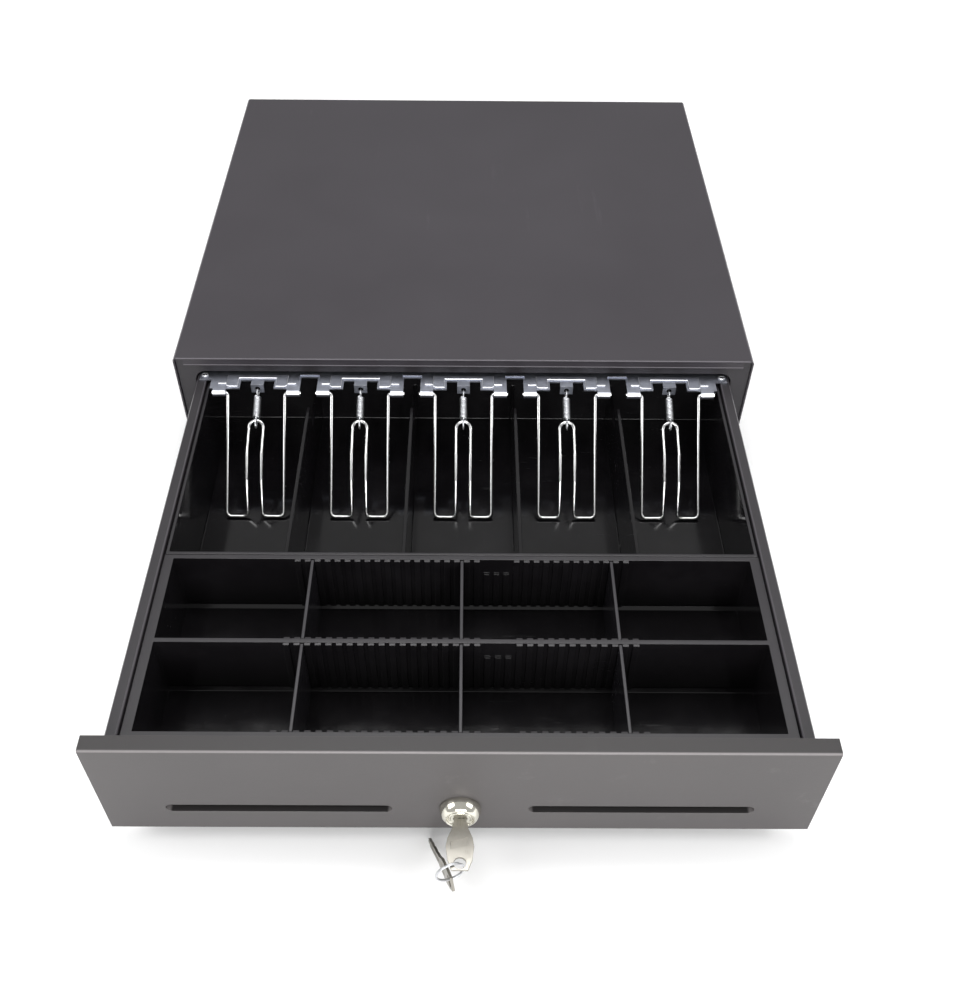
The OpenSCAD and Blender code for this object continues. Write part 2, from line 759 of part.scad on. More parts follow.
module coin_tray() {
    lift = scoop_r + plastic;
    color("#1f1e21") in_drawer() {
        difference() {
            block([-tray_x, coin_y0, tray_z], [tray_x, coin_y1, rim_z]);
            coin_row(cup_y0, cup_y1, scoop_r);
            coin_row(cup_y2, cup_y3, 14);
            along_x(-tray_x + plastic, tray_x - plastic) polygon(concat(
                [[coin_y0 + plastic, tray_z - 1], [coin_y0 + plastic, rim_z - plastic],
                [cup_y0 - plastic, rim_z - plastic]],
                arc([cup_y0 + scoop_r, cup_floor + scoop_r], lift, 180, 270, 10),
                [[coin_y1 - plastic, cup_floor - plastic], [coin_y1 - plastic, tray_z - 1]]));
            both() block([cup_x + plastic, coin_y0 + plastic, tray_z - 1],
                [tray_x - plastic, coin_y1 - plastic, rim_z - plastic]);
            block([-30, coin_y0 - 1, tray_z - 1], [16, coin_y0 + plastic + 1, lock_z + 17]);
            along_y(coin_y0 - 1, coin_y0 + plastic + 1) slot_shape(1);
        }
        ridges(cup_y0, 1, cup_floor + scoop_r);
        ridges(cup_y1, -1, cup_floor + 2);
        ridges(cup_y2, 1, cup_floor + 14);
        ridges(cup_y3, -1, cup_floor + 2);
    }
}

module coin_divider(i) {
    row = i < 3 ? 0 : 1;
    y0 = (row == 0 ? cup_y2 : cup_y0) + 0.3;
    y1 = (row == 0 ? cup_y3 : cup_y1) - 0.3;
    r = row == 0 ? 14 : scoop_r;
    x = divider_i[i % 3] * groove_pitch;
    color("#38353b") in_drawer() along_x(x - divider_t / 2, x + divider_t / 2) polygon(concat(
        [[y0, rim_z - 0.5]], arc([y0 + r, cup_floor + 0.3 + r], r, 180, 270, 10),
        [[y0 + r + 2, cup_floor], [y1 - 5, cup_floor], [y1 - 2.4, cup_floor + 0.3],
            [y1, cup_floor + 2.7], [y1, rim_z - 0.5]]));
}

module coin_divider_1() { coin_divider(0); }

module coin_divider_2() { coin_divider(1); }

module coin_divider_3() { coin_divider(2); }

module coin_divider_4() { coin_divider(3); }

module coin_divider_5() { coin_divider(4); }

module coin_divider_6() { coin_divider(5); }

module bill_tray() {
    w = tray_x - bill_wall;
    split = bar_y0 - 9;
    color("#1a191b") in_drawer() {
        difference() {
            block([-tray_x, bill_y0, tray_z], [tray_x, bill_y1, rim_z]);
            block([-w, bill_y0 + bill_wall, bill_floor], [w, bill_y1 - bill_wall, rim_z + 1]);
            block([-w, bill_y0 + bill_wall, tray_z - 1], [w, bill_y1 - bill_wall, bill_floor - plastic]);
        }
        for (i = [-2:1]) translate([(i + 0.5) * bay_pitch - bill_wall / 2, 0, bill_floor - 1]) {
            block([0, bill_y0 + 1, 0], [bill_wall, split, rim_z - bay_drop - bill_floor + 1]);
            block([0, split - 1, 0], [bill_wall, bill_y1 - 1, rim_z - 24 - bill_floor + 1]);
        }
    }
}

// ---- note clips ----

function bay_x(i) = (i - 2) * bay_pitch;

module clip_bar() {
    end_x = drawer_x - 2;
    color("#8f99a6") in_drawer() difference() {
        union() {
            translate([0, 0, bar_z]) linear_extrude(sheet) difference() {
                translate([-bay_x(4) - 33, bar_y0]) square([2 * bay_x(4) + 66, bar_y1 - bar_y0]);
                for (i = [0:4]) translate([bay_x(i) - 12, bar_y0 - 1]) square([24, 10]);
                for (i = [0:3]) translate([bay_x(i) + bay_pitch / 2 - 6, bar_y0 - 1]) square([12, 14]);
            }
            both() block([bay_x(4) + 32, bar_y1 - 10, bar_z], [end_x, bar_y1, bar_z + sheet]);
            for (i = [0:4]) {
                for (s = SIDES)
                    translate([bay_x(i) + s * (clip_half + 1.5 + barrel_len / 2), hinge_y, hinge_z])
                        rod_x(-barrel_len / 2, barrel_len / 2, curl_r);
                for (s = SIDES) block([bay_x(i) + s * (clip_half + 1.5 + barrel_len / 2) - barrel_len / 2,
                    hinge_y, hinge_z + curl_r - sheet], [bay_x(i) + s * (clip_half + 1.5 + barrel_len / 2)
                    + barrel_len / 2, bar_y0 + 1, bar_z + sheet]);
                translate([bay_x(i) - 4.5, 0, 0]) along_x(0, 9) polygon([[bar_y0 + 9.5, bar_z + sheet],
                    [bar_y0 + 9.5, bar_z], [tab_y + 1.2, bar_z], [tab_y + 0.6, tab_z - 0.5],
                    [tab_y - 0.6, tab_z - 0.5], [tab_y - 0.2, bar_z + sheet]]);
            }
        }
        for (i = [0:4]) {
            translate([bay_x(i), 0, tab_z + 2.4]) rod_y(tab_y - 4, tab_y + 4, 1.9);
            for (s = SIDES) translate([bay_x(i) + s * (clip_half + 1.5), hinge_y, hinge_z])
                rod_x(s > 0 ? -1 : -barrel_len - 1, s > 0 ? barrel_len + 1 : 1, hinge_r);
        }
        both() translate([end_x - 3.5, bar_y1 - 5, bar_z - 1]) cylinder(h = 4, r = 1.6);
    }
}

module clip_bar_screws() {
    color("#d6d8da") in_drawer() both() translate([drawer_x - 5.5, bar_y1 - 5, bar_z + sheet])
        difference() {
            cylinder(h = 1.1, r1 = 2.8, r2 = 2.3);
            translate([-2, -0.3, 0.5]) cube([4, 0.6, 1]);
        }
}

module clip_leg(x, v0, v1) { translate([x, 0, 0]) rod_y(v0, v1, wire_r); }

// one piece of wire, in the clip's own plane: X across, Y from the hinge down to the bottom wire
module bill_clip(i) {
    w = clip_half;
    low = clip_len - bend_r;
    color("#d9dbdd") in_drawer() translate([bay_x(i), hinge_y, hinge_z]) rotate([clip_slope, 0, 0])
        mirror([0, 1, 0]) {
            both() {
                rod_x(w, w + 1.5 + barrel_len + 1, wire_r);
                translate([w, 0, 0]) sphere(r = wire_r, $fn = 24);
                clip_leg(w, 0, low);
                translate([w - bend_r, low, 0]) bend(bend_r, wire_r, 90);
                translate([0, clip_len, 0]) rod_x(inner_x + bend_r, w - bend_r, wire_r);
                translate([inner_x + bend_r, low, 0]) rotate([0, 0, 90]) bend(bend_r, wire_r, 90);
                clip_leg(inner_x, loop_v, low);
            }
            translate([0, loop_v, 0]) rotate([0, 0, 180]) bend(inner_x, wire_r, 180);
        }
}

module bill_clip_1() { bill_clip(0); }

module bill_clip_2() { bill_clip(1); }

module bill_clip_3() { bill_clip(2); }

module bill_clip_4() { bill_clip(3); }

module bill_clip_5() { bill_clip(4); }

// from the bar's tab to the clip's top loop; its lower hook is long, so that the clip can swing
module clip_spring(i) {
    loop = loop_v - inner_x;
    dy = tab_y - hinge_y + cos(clip_slope) * loop;
    dz = tab_z - hinge_z + sin(clip_slope) * loop;
    near = sqrt(dy * dy + dz * dz) - wire_r - 0.8;
    far = near + 2 * wire_r + 5.1;
    start = 1.3 + eye_r - 0.4;
    end = near - 0.2;
    color("#c4ccd2") in_drawer() translate([bay_x(i), tab_y, tab_z])
        rotate([atan2(dz, dy), 0, 0]) rotate([90, 0, 0]) {
            translate([0, 0, 1.3]) rotate([0, 90, 0]) bend(eye_r, 0.5);
            translate([0, 0, start]) coil(end - start, 2.75, 0.5, false);
            for (s = SIDES) translate([0, s * hook_r, near + hook_r])
                cylinder(h = far - near - 2 * hook_r, r = 0.5);
            translate([0, 0, near + hook_r]) rotate([-90, 0, 90]) bend(hook_r, 0.5, 180);
            translate([0, 0, far - hook_r]) rotate([90, 0, 90]) bend(hook_r, 0.5, 180);
        }
}

module clip_spring_1() { clip_spring(0); }

module clip_spring_2() { clip_spring(1); }

module clip_spring_3() { clip_spring(2); }

module clip_spring_4() { clip_spring(3); }

module clip_spring_5() { clip_spring(4); }

top_cover();
base_pan();
face_frame();
back_panel();
rubber_feet();
cover_screws();
case_rail_left();
case_rail_right();
rail_rivets();
rail_stops();
front_axles();
front_rollers();
latch_bracket();
solenoid_frame();
solenoid_coil();
solenoid_plunger();
latch_hook();
hook_spring();
switch_body();
switch_lever();
ejector_spring();
data_jack();
drawer_tray();
front_panel();
panel_spacers();
panel_screws();
drawer_rail_left();
drawer_rail_right();
rear_axles();
rear_rollers();
striker();
lock_body();
lock_nut();
lock_plug();
lock_cam();
key();
key_ring();
spare_key();
bill_tray();
coin_tray();
coin_divider_1();
coin_divider_2();
coin_divider_3();
coin_divider_4();
coin_divider_5();
coin_divider_6();
clip_bar();
clip_bar_screws();
bill_clip_1();
bill_clip_2();
bill_clip_3();
bill_clip_4();
bill_clip_5();
clip_spring_1();
clip_spring_2();
clip_spring_3();
clip_spring_4();
clip_spring_5();
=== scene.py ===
import json
import math
import bpy
from mathutils import Matrix, Vector


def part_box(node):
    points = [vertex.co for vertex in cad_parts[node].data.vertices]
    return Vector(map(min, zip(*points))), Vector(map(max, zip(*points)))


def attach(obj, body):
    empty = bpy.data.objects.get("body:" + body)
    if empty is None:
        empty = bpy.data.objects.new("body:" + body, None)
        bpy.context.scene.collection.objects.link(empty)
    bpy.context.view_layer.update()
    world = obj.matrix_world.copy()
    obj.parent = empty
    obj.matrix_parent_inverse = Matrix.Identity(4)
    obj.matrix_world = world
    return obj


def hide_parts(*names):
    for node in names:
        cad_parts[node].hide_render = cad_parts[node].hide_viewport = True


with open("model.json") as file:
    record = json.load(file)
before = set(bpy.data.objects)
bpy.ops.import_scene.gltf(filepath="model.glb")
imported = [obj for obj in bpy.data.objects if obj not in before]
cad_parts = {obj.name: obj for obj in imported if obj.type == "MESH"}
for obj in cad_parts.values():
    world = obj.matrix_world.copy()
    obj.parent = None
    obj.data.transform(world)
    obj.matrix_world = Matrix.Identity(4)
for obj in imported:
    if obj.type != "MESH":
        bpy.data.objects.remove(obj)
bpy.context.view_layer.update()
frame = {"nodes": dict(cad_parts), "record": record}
record = frame["record"]
joints = {j["name"]: j for j in record["behaviour"]["joints"]}
bodyOf = {n: b for b, names in record["behaviour"]["bodies"].items() for n in names}
slotOf = {s["node"]: s["material_slot"] for s in record["subparts"]}
mm = 0.001


# small helpers for selecting and finishing

def onlySelect(*objs):
    if bpy.context.object and bpy.context.object.mode != "OBJECT":
        bpy.ops.object.mode_set(mode="OBJECT")
    bpy.ops.object.select_all(action="DESELECT")
    for o in objs:
        o.hide_set(False)
        o.select_set(True)
    bpy.context.view_layer.objects.active = objs[0]


def editAll(obj):
    onlySelect(obj)
    bpy.ops.object.mode_set(mode="EDIT")
    bpy.ops.mesh.select_all(action="SELECT")


def leaveEdit():
    bpy.ops.object.mode_set(mode="OBJECT")


def newObject(name, data):
    obj = bpy.data.objects.new(name, data)
    bpy.context.scene.collection.objects.link(obj)
    return obj


def applyModifier(obj, kind, **settings):
    onlySelect(obj)
    mod = obj.modifiers.new(kind.title(), kind)
    for key, value in settings.items():
        setattr(mod, key, value)
    bpy.ops.object.modifier_apply(modifier=mod.name)


def breakEdges(obj, width, segments, corner, **settings):
    # corner is the smallest angle, in degrees, between faces whose edge is broken
    applyModifier(obj, "BEVEL", width=width, segments=segments, limit_method="ANGLE",
                  angle_limit=math.radians(corner), use_clamp_overlap=True, **settings)


def bakePlace(obj):
    onlySelect(obj)
    bpy.ops.object.transform_apply(location=True, rotation=True, scale=True)


def smoothByAngle(obj, degrees=38):
    onlySelect(obj)
    bpy.ops.object.shade_smooth_by_angle(angle=math.radians(degrees))


def outwards(obj):
    editAll(obj)
    bpy.ops.mesh.remove_doubles(threshold=1e-6)
    bpy.ops.mesh.normals_make_consistent(inside=False)
    leaveEdit()


def join(first, *others):
    onlySelect(first, *others)
    bpy.ops.object.join()
    return first


def finishPiece(obj, name, node, flat=False):
    # flat pieces keep level faces level in the shading, wires and turned pieces don't need it
    obj.name = obj.data.name = name
    bakePlace(obj)
    smoothByAngle(obj)
    if flat:
        applyModifier(obj, "WEIGHTED_NORMAL", weight=100, keep_sharp=True)
    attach(obj, bodyOf[node])
    obj.data.materials.clear()
    obj.data.materials.append(finishes[slotOf[node]])
    return obj


def copyOf(node, name):
    # a copy of a CAD piece, with its flat faces joined
    obj = newObject(name, frame["nodes"][node].data.copy())
    editAll(obj)
    bpy.ops.mesh.remove_doubles(threshold=2e-6)
    bpy.ops.mesh.dissolve_limited(angle_limit=math.radians(0.8))
    leaveEdit()
    return obj


def rounded(node, name, width, standsFor=True):
    # a sheet-metal or moulded piece, with its edges broken
    obj = copyOf(node, name)
    breakEdges(obj, width, 2, 30, miter_outer="MITER_ARC")
    finishPiece(obj, name, node, flat=True)
    if standsFor:
        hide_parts(node)
    return obj


def bentPath(corners, steps=7):
    # corners are (point, radius); each inner corner becomes an arc
    pts = [Vector(corners[0][0])]
    for i in range(1, len(corners) - 1):
        p, r = Vector(corners[i][0]), corners[i][1]
        a = (Vector(corners[i - 1][0]) - p).normalized()
        b = (Vector(corners[i + 1][0]) - p).normalized()
        half = a.angle(b) / 2
        reach = r / math.tan(half)
        centre = p + (a + b).normalized() * (r / math.sin(half))
        start, end = p + a * reach - centre, p + b * reach - centre
        turn = start.angle(end)
        for k in range(steps + 1):
            t = k / steps
            q = (start * math.sin((1 - t) * turn) + end * math.sin(t * turn)) / math.sin(turn)
            pts.append(centre + q)
    pts.append(Vector(corners[-1][0]))
    return pts


def wireAlong(name, points, radius, place, sides=3):
    # a round wire along points that are given in the frame of place
    curve = bpy.data.curves.new(name, "CURVE")
    curve.dimensions = "3D"
    curve.bevel_depth = radius
    curve.bevel_resolution = sides
    curve.use_fill_caps = True
    line = curve.splines.new("POLY")
    line.points.add(len(points) - 1)
    for spot, p in zip(line.points, points):
        spot.co = (*(place @ Vector(p)), 1)
    onlySelect(newObject(name, curve))
    bpy.ops.object.convert(target="MESH")
    obj = bpy.context.object
    outwards(obj)
    return obj


def slab(name, outline, low, high):
    # a flat shape pulled up between two heights
    mesh = bpy.data.meshes.new(name)
    mesh.from_pydata([(x, y, low) for x, y in outline], [], [tuple(range(len(outline)))])
    obj = newObject(name, mesh)
    editAll(obj)
    bpy.ops.mesh.extrude_region_move(TRANSFORM_OT_translate={"value": (0, 0, high - low)})
    leaveEdit()
    outwards(obj)
    return obj


def turned(name, profile, axisPoint, axis, steps=72):
    # a profile of (radius, distance along the axis) turned about a level axis
    across = Vector((0, 0, 1))
    pts = [Vector(axisPoint) + across * r + Vector(axis) * d for r, d in profile]
    mesh = bpy.data.meshes.new(name)
    mesh.from_pydata(pts, [(i, i + 1) for i in range(len(pts) - 1)], [])
    obj = newObject(name, mesh)
    editAll(obj)
    bpy.ops.mesh.spin(steps=steps, angle=math.tau, center=axisPoint, axis=axis, dupli=False)
    bpy.ops.mesh.select_all(action="SELECT")
    bpy.ops.mesh.remove_doubles(threshold=1e-6)
    bpy.ops.mesh.normals_make_consistent(inside=False)
    leaveEdit()
    return obj


# finishes

class Signal:
    # a socket that sums, differences and products can be written on
    def __init__(self, finish, socket):
        self.finish = finish
        self.socket = socket

    def maths(self, kind, a, b):
        return self.finish.use("ShaderNodeMath", {"operation": kind}, {0: a, 1: b}).out(0)

    def __add__(self, other): return self.maths("ADD", self, other)
    def __radd__(self, other): return self.maths("ADD", other, self)
    def __sub__(self, other): return self.maths("SUBTRACT", self, other)
    def __rsub__(self, other): return self.maths("SUBTRACT", other, self)
    def __mul__(self, other): return self.maths("MULTIPLY", self, other)
    def __rmul__(self, other): return self.maths("MULTIPLY", other, self)


class Used:
    # a shader node, whose outputs are handed over as signals
    def __init__(self, finish, node):
        self.finish = finish
        self.node = node

    def out(self, key):
        return Signal(self.finish, self.node.outputs[key])


class Finish:
    # a material, and the ways that its patterns are made
    def __init__(self, name, **constants):
        self.material = bpy.data.materials.new(name)
        self.material.use_nodes = True
        self.tree = self.material.node_tree
        self.shader = self.tree.nodes["Principled BSDF"]
        for key, value in constants.items():
            self.shader.inputs[key.replace("_", " ")].default_value = value
        self.place = self.use("ShaderNodeTexCoord", {}, {}).out("Object")

    def use(self, kind, settings, inputs):
        node = self.tree.nodes.new(kind)
        for key, value in settings.items():
            setattr(node, key, value)
        for key, value in inputs.items():
            if isinstance(value, Signal):
                self.tree.links.new(value.socket, node.inputs[key])
            else:
                node.inputs[key].default_value = value
        return Used(self, node)

    def noise(self, scale, detail=3, rough=0.5, stretch=None):
        place = self.place
        if stretch:
            place = self.use("ShaderNodeMapping", {}, {"Vector": place, "Scale": stretch}).out(0)
        return self.use("ShaderNodeTexNoise", {}, {"Vector": place, "Scale": scale, "Detail": detail,
                                                   "Roughness": rough}).out(0)

    def band(self, signal, low, high):
        # 0 below low, 1 above high
        return self.use("ShaderNodeMapRange", {"clamp": True}, {0: signal, 1: low, 2: high}).out(0)

    def mix(self, amount, a, b):
        return self.use("ShaderNodeMix", {"data_type": "RGBA"}, {0: amount, 6: a, 7: b}).out(2)

    def height(self):
        return self.use("ShaderNodeSeparateXYZ", {}, {0: self.place}).out(2)

    def upward(self):
        # 1 where the surface faces up, 0 on walls
        normal = self.use("ShaderNodeNewGeometry", {}, {}).out("Normal")
        return self.use("ShaderNodeSeparateXYZ", {}, {0: normal}).out(2)

    def colour(self, signal): self.tree.links.new(signal.socket, self.shader.inputs["Base Color"])
    def rough(self, signal): self.tree.links.new(signal.socket, self.shader.inputs["Roughness"])

    def bump(self, height, distance, strength=1.0):
        node = self.use("ShaderNodeBump", {}, {"Height": height, "Distance": distance, "Strength": strength})
        self.tree.links.new(node.out(0).socket, self.shader.inputs["Normal"])


def rgb(r, g, b): return (r, g, b, 1)


# 1 where an edge is rounded over: up is more than on a wall and less than on a level face
def roundedOver(f, up, wall, level):
    return f.band(up, *wall) * (1 - f.band(up, *level))


def powderCoat(name, dark, light, gloss, grain=1500, depth=0.00005, scuffed=0.35, shade=1.0):
    f = Finish(name, Metallic=0.0, Specular_IOR_Level=0.42)
    cloud = f.noise(5, 4, 0.6)
    speck = f.noise(grain, 2, 0.6)
    mottle = f.band(cloud, 0.3, 0.7) * 0.7 + f.band(speck, 0.3, 0.75) * 0.3
    base = f.mix(mottle, rgb(*dark), rgb(*light))
    rub = f.band(f.noise(60, 5, 0.65, (1, 0.12, 1)), 0.63, 0.74) * f.band(f.noise(7, 2), 0.48, 0.62)
    dust = f.band(f.noise(260, 3, 0.7), 0.66, 0.8)
    bare = [c * 2.4 + 0.02 for c in light]
    worn = f.mix(rub * scuffed * 0.25 + dust * 0.05, base, rgb(*bare))
    up = f.upward()
    edge = roundedOver(f, up, (0.12, 0.4), (0.86, 0.99))
    shaded, glint = [c * 0.3 for c in dark], [c * 2.6 + 0.03 for c in light]
    # painted shade: level top faces are darkened towards a third of the dark tone, more the further shade is
    # below 1
    paintedTopShade = f.mix(f.band(up, 0.9, 0.99) * (1 - shade), worn, rgb(*shaded))
    # painted highlight: rounded-over edges are mixed towards a much lighter colour (glint), standing in for
    # the light they catch
    f.colour(f.mix(edge * 0.65, paintedTopShade, rgb(*glint)))
    f.rough(gloss - edge * 0.12 + f.band(cloud, 0.2, 0.8) * 0.08 + speck * 0.07 - rub * 0.08)
    f.bump(speck * 0.8 + f.noise(grain * 0.3, 2) * 0.5, depth, 0.8)
    return f.material


def sheetZinc(name, tone, cool, gloss, streak=(0.06, 1, 1), depth=0.00001, spangled=0.25, paintedSheen=0.0):
    f = Finish(name, Metallic=1.0)
    cloud = f.noise(40, 4, 0.6)
    lines = f.noise(900, 3, 0.6, streak)
    spangle = f.use("ShaderNodeTexVoronoi", {}, {"Vector": f.place, "Scale": 260}).out("Color")
    grey = f.use("ShaderNodeRGBToBW", {}, {0: spangle}).out(0)
    up = f.upward()
    # painted highlight: rounded-over edges are mixed towards near white, by the given strength
    edge = roundedOver(f, up, (0.1, 0.35), (0.9, 0.995)) * paintedSheen
    plate = f.mix(f.band(cloud, 0.3, 0.7) * 0.6 + grey * spangled, rgb(*tone), rgb(*cool))
    f.colour(f.mix(edge, plate, rgb(0.9, 0.91, 0.93)))
    f.rough(gloss + f.band(lines, 0.3, 0.7) * 0.14 + grey * 0.05)
    f.bump(lines + cloud * 0.3, depth, 0.5)
    return f.material


def polished(name, tone, worn, gloss, scratch=0.12):
    f = Finish(name, Metallic=1.0)
    smear = f.noise(90, 4, 0.6)
    fine = f.noise(1400, 2, 0.6, (1, 0.15, 1))
    pits = f.band(f.noise(600, 3, 0.7), 0.66, 0.76)
    f.colour(f.mix(f.band(smear, 0.35, 0.8) * 0.5 + pits * 0.3, rgb(*tone), rgb(*worn)))
    f.rough(gloss + f.band(smear, 0.3, 0.8) * 0.1 + f.band(fine, 0.55, 0.7) * scratch + pits * 0.1)
    f.bump(fine * 0.4 + smear * 0.3, 0.000006, 0.4)
    return f.material


def styrene(name, deep, paintedSheen, rimHeight, gloss, rimGloss):
    # moulded till plastic: polished walls, satin rims with a faint orange peel; the rim tops also get a
    # painted sheen
    f = Finish(name, Specular_IOR_Level=0.45)
    top = f.band(f.height(), rimHeight - 0.0016, rimHeight - 0.0004)
    up = f.upward()
    satinAndSheen = top * f.band(up, 0.5, 0.9)
    smudge = f.band(f.noise(22, 5, 0.62), 0.42, 0.72)
    scratch = f.band(f.noise(420, 3, 0.7, (0.1, 1, 1)), 0.6, 0.72) * f.band(f.noise(14, 2), 0.45, 0.6)
    dust = f.band(f.noise(900, 2, 0.7), 0.7, 0.78) * f.band(up, 0.3, 0.9)
    hazed = [c * 2.2 + 0.004 for c in deep]
    base = f.mix(smudge * 0.4 + dust * 0.25, rgb(*deep), rgb(*hazed))
    # painted sheen: the upward rim tops are coloured lighter; their rougher satin finish is real
    f.colour(f.mix(satinAndSheen * 0.92, base, rgb(*paintedSheen)))
    f.rough(gloss + smudge * 0.10 + scratch * 0.16 + dust * 0.2 + satinAndSheen * (rimGloss - gloss))
    f.bump(f.noise(700, 2) * (0.35 + satinAndSheen * 0.65) + f.noise(60, 2) * 0.4, 0.00003, 0.5)
    return f.material


def moulded(name, tone, gloss, grain=1800, depth=0.00004):
    f = Finish(name)
    speck = f.noise(grain, 3, 0.6)
    cloud = f.noise(60, 3)
    pale = [c * 1.7 + 0.004 for c in tone]
    f.colour(f.mix(f.band(cloud, 0.3, 0.7) * 0.6 + speck * 0.3, rgb(*tone), rgb(*pale)))
    f.rough(gloss + speck * 0.12 + f.band(cloud, 0.4, 0.7) * 0.08)
    f.bump(speck, depth, 0.7)
    return f.material


def copperWinding(name):
    f = Finish(name, Metallic=0.6)
    turns = f.use("ShaderNodeTexWave", {"wave_type": "BANDS", "bands_direction": "X"},
                  {"Vector": f.place, "Scale": 300, "Distortion": 0.4, "Detail": 1}).out(1)
    f.colour(f.mix(turns * 0.8, rgb(0.16, 0.035, 0.012), rgb(0.62, 0.22, 0.08)))
    f.rough(0.42 - turns * 0.12)
    f.bump(turns, 0.0002, 0.8)
    return f.material


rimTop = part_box("coin_tray")[1][2]
finishes = {
    # cover and panel are one charcoal paint; the panel's copy is about twice as light, a lit copy that
    # stands in for the light from the front
    "cover_paint": powderCoat("charcoalCover", (0.026, 0.0225, 0.0275), (0.038, 0.034, 0.040), 0.44),
    "face_paint": powderCoat("charcoalFace", (0.018, 0.016, 0.019), (0.028, 0.0255, 0.029), 0.38),
    # the panel's level top faces get painted shade (shade=0.25)
    "panel_paint": powderCoat("charcoalPanel", (0.056, 0.0515, 0.0525), (0.078, 0.072, 0.072), 0.42,
                              shade=0.25),
    "case_steel": powderCoat("blackSteel", (0.022, 0.021, 0.023), (0.036, 0.034, 0.037), 0.45),
    "drawer_paint": powderCoat("satinDrawer", (0.014, 0.0125, 0.0145), (0.024, 0.0215, 0.025), 0.36,
                               depth=0.00003),
    "foot_rubber": moulded("footRubber", (0.018, 0.018, 0.019), 0.72),
    "black_screws": sheetZinc("blackOxide", (0.05, 0.05, 0.055), (0.09, 0.09, 0.10), 0.38),
    "zinc_steel": sheetZinc("zincSteel", (0.52, 0.54, 0.57), (0.66, 0.69, 0.74), 0.26),
    # the clip bar's zinc gets a strong painted highlight on its rounded edges
    "bar_zinc": sheetZinc("barZinc", (0.34, 0.355, 0.415), (0.44, 0.46, 0.52), 0.34, (1, 1, 1),
                          0.000002, 0.06, 0.95),
    "bright_steel": polished("brightSteel", (0.60, 0.61, 0.63), (0.44, 0.44, 0.46), 0.32),
    "clip_wire": polished("clipNickel", (0.70, 0.70, 0.70), (0.50, 0.50, 0.50), 0.16, 0.08),
    "lock_nickel": polished("lockNickel", (0.74, 0.72, 0.64), (0.52, 0.50, 0.43), 0.09),
    "key_nickel": polished("keyNickel", (0.36, 0.345, 0.31), (0.22, 0.205, 0.18), 0.34, 0.14),
    "coil_winding": copperWinding("copperWinding"),
    "black_plastic": moulded("blackMoulding", (0.022, 0.022, 0.024), 0.4),
    "roller_nylon": moulded("whiteNylon", (0.60, 0.59, 0.54), 0.42),
    # each styrene's second colour is the painted sheen on its rim tops
    "till_plastic": styrene("tillStyrene", (0.0045, 0.0041, 0.0048), (0.016, 0.0145, 0.017), rimTop,
                            0.10, 0.34),
    "coin_plastic": styrene("coinStyrene", (0.0048, 0.0043, 0.0050), (0.020, 0.018, 0.021), rimTop,
                            0.09, 0.34),
    "divider_plastic": styrene("dividerStyrene", (0.008, 0.0074, 0.009), (0.030, 0.028, 0.032),
                               rimTop, 0.16, 0.3),
}
print("finishes made:", len(finishes))

# case

caseEdges = {"top_cover": 0.55 * mm, "face_frame": 0.45 * mm, "base_pan": 0.3 * mm, "back_panel": 0.3 * mm,
             "case_rail_left": 0.25 * mm, "case_rail_right": 0.25 * mm, "rail_stops": 0.6 * mm,
             "latch_bracket": 0.3 * mm, "solenoid_frame": 0.35 * mm, "switch_body": 0.4 * mm,
             "switch_lever": 0.08 * mm, "data_jack": 0.3 * mm, "rubber_feet": 0.3 * mm,
             "cover_screws": 0.15 * mm, "rail_rivets": 0.1 * mm, "front_axles": 0.3 * mm,
             "front_rollers": 0.2 * mm, "solenoid_coil": 0.3 * mm, "solenoid_plunger": 0.3 * mm,
             "latch_hook": 0.3 * mm}


def camel(node):
    words = node.split("_")
    return words[0] + "".join(w.title() for w in words[1:])


coverLow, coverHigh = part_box("top_cover")
fold = {"bead": 0.85 * mm, "lip": 6 * mm, "inset": 7 * mm, "round": 2.5 * mm,
        "topDrop": 0.5 * mm, "lipLift": 0.4 * mm, "back": 0.45 * mm}
foldLines = ((fold["round"], coverHigh[2] - fold["topDrop"]),
             (fold["inset"], coverHigh[2] - fold["lip"] + fold["lipLift"]))
for node, width in caseEdges.items():
    piece = rounded(node, camel(node), width)
    if node == "top_cover":
        beads = []
        for inset, z in foldLines:
            half, y = coverHigh[0] - inset, coverLow[1] + fold["back"]
            beads.append(wireAlong("bead", [(-half, y, z), (half, y, z)], fold["bead"],
                                   Matrix.Identity(4), 4))
        join(piece, *beads)
        finishPiece(piece, "topCover", node, flat=True)
print("case made")

# drawer, its rails and the trays

drawerEdges = {"front_panel": 0.8 * mm, "drawer_tray": 0.35 * mm, "drawer_rail_left": 0.25 * mm,
               "drawer_rail_right": 0.25 * mm, "panel_spacers": 0.2 * mm, "panel_screws": 0.1 * mm,
               "rear_axles": 0.3 * mm, "rear_rollers": 0.2 * mm, "striker": 0.3 * mm, "lock_nut": 0.3 * mm,
               "lock_cam": 0.3 * mm, "bill_tray": 0.7 * mm, "coin_tray": 0.55 * mm,
               "clip_bar_screws": 0.2 * mm}
for i in range(1, 7):
    drawerEdges[f"coin_divider_{i}"] = 0.45 * mm
for node, width in drawerEdges.items():
    rounded(node, camel(node), width)
print("drawer and trays made")

# clip bar: a stamped strip, raised between the valleys that lead to its barrels

